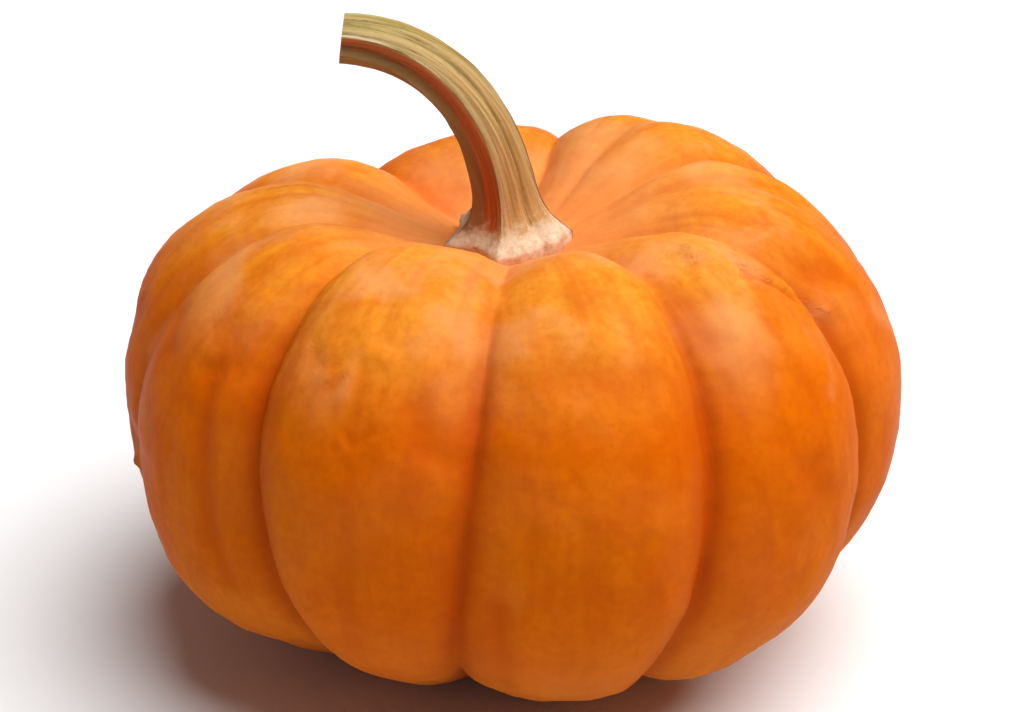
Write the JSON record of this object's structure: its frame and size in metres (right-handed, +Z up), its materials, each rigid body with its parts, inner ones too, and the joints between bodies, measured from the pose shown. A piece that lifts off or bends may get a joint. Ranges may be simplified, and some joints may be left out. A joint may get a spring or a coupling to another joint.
{
  "type": "pumpkin",
  "caption": "Whole ribbed orange pumpkin with rounded, furrowed sides, a sunken crown and a dried, hooked, ridged stem on a flared foot.",
  "frame": {"origin": "on the surface the pumpkin rests on, at the centre of its outline seen from above", "axes": "+Z up along the fruit's axis; the best side faces -Y; the stem hooks over towards -X"},
  "size_m": [0.271, 0.2694, 0.2247],
  "materials": {
    "rind": "waxy satin rind, smooth and finely pored",
    "stem": "dry, fibrous, furrowed stalk with a corky foot"
  },
  "bodies": {
    "root": {"fruit": "rind", "stem": "stem"}
  },
  "joints": []
}
